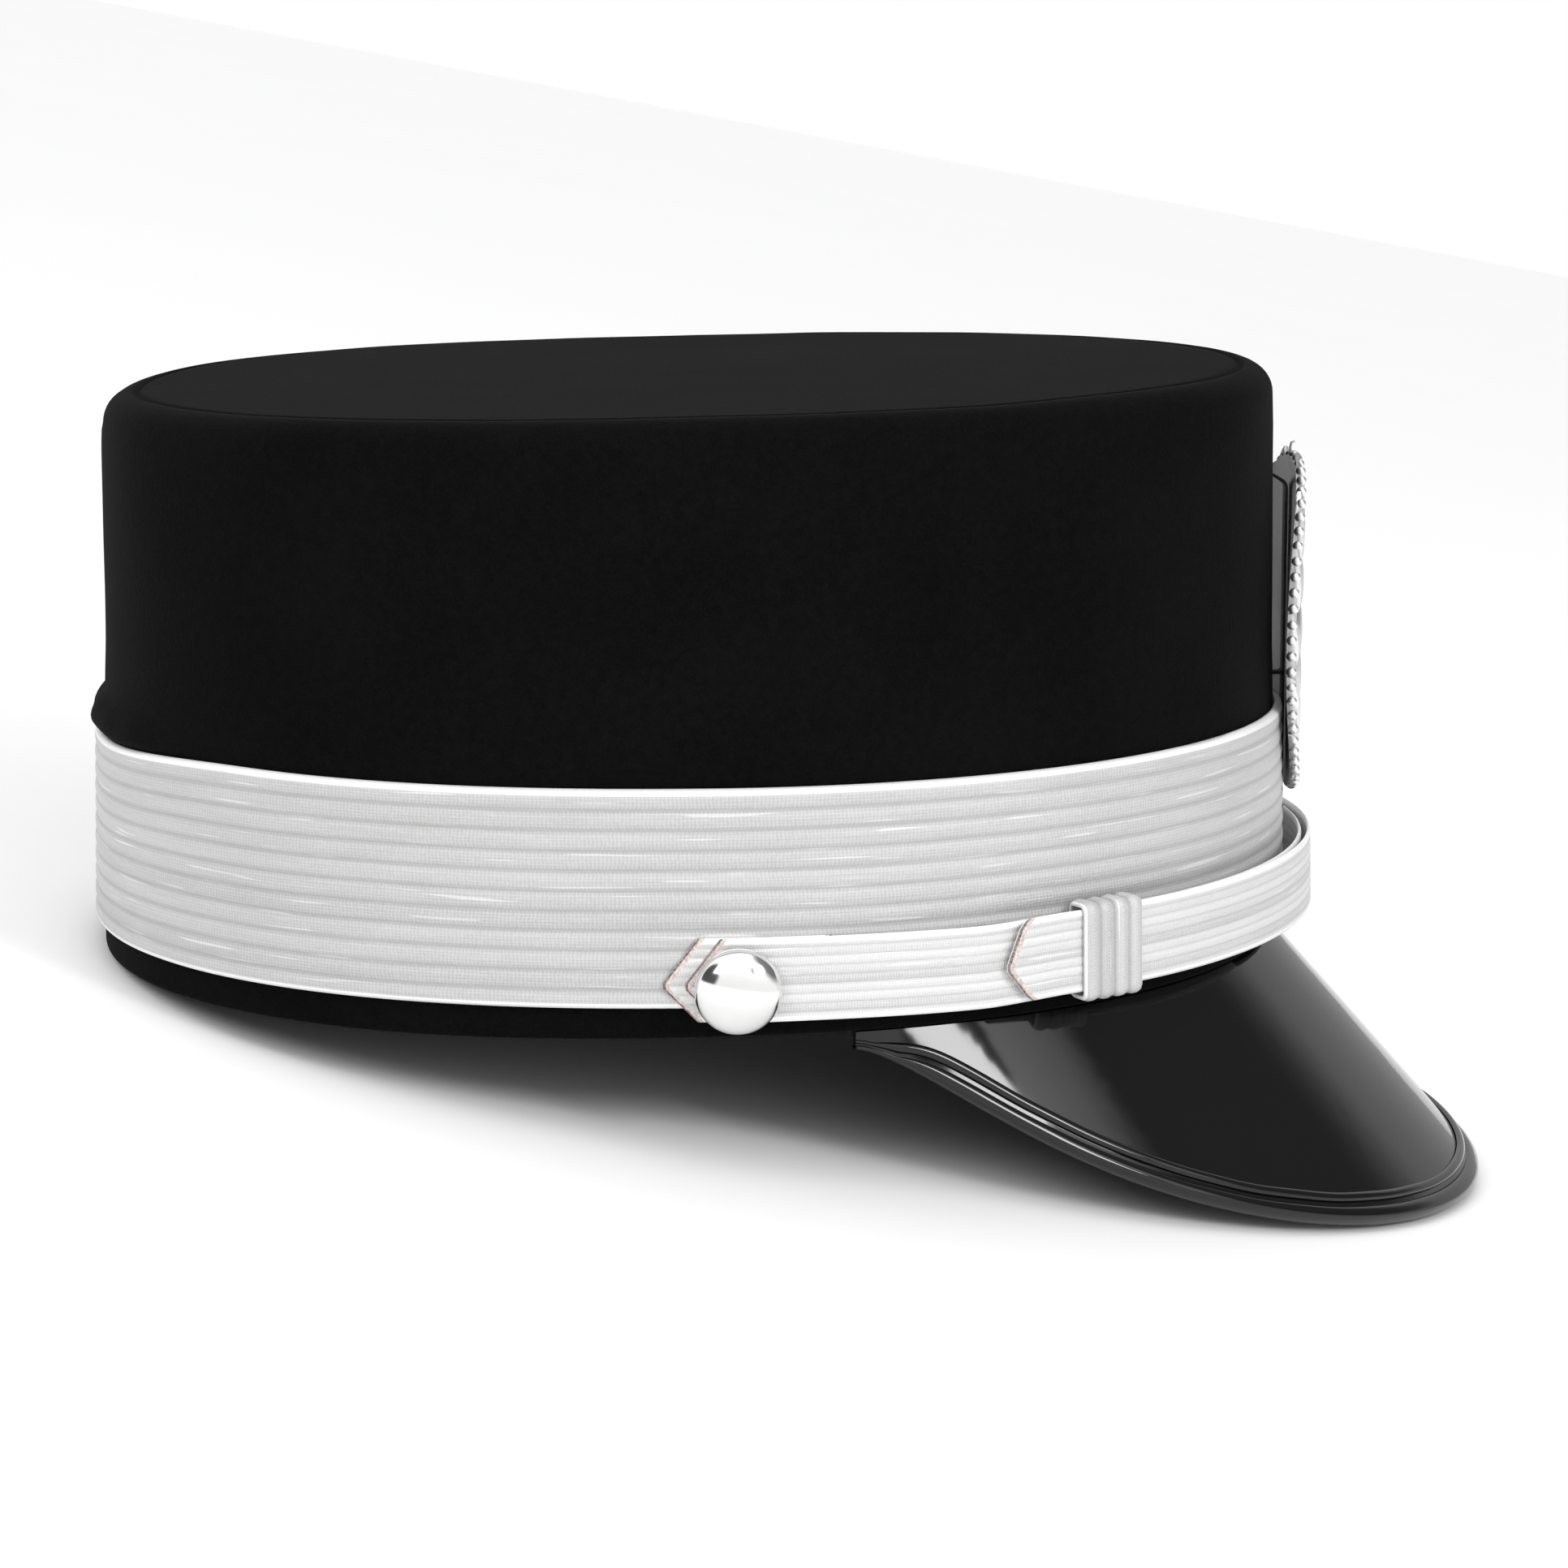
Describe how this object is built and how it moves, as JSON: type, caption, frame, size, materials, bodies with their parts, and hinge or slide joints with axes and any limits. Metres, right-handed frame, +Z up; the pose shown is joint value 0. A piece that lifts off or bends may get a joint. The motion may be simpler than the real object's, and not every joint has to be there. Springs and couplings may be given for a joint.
{
  "type": "fatigue cap",
  "caption": "Drum-shaped uniform cap of black wool with a ribbed silver braid band, chin strap, side buttons, oval front badge and a sloping patent visor.",
  "frame": {"origin": "centre of the cap's box seen from above, at the height of the surface that it stands on", "axes": "+X to the front, over the visor; +Y to the wearer's left; +Z up. The cap stands tipped, its front 10.6 degrees up, on the back of its hem and the front of its visor."},
  "size_m": [0.2604, 0.1862, 0.1333],
  "materials": {
    "wool": "matt felted black wool with a fine nap",
    "silver_braid": "woven metallic braid in eleven ribs",
    "strap_braid": "tight bright metallic braid, ribbed lengthwise",
    "patent": "glossy black patent",
    "button_silver": "polished plain dome",
    "badge_silver": "cast silver-grey metal with a beaded edge",
    "holder_black": "stiff matt black strip"
  },
  "bodies": {
    "root": {"crown": "wool", "band": "silver_braid", "visor": "patent", "visor_rim": "patent", "strap_right": "strap_braid", "strap_left": "strap_braid", "slide_right": "strap_braid", "slide_left": "strap_braid", "button_right": "button_silver", "button_left": "button_silver", "badge_holder": "holder_black", "badge": "badge_silver"}
  },
  "joints": []
}
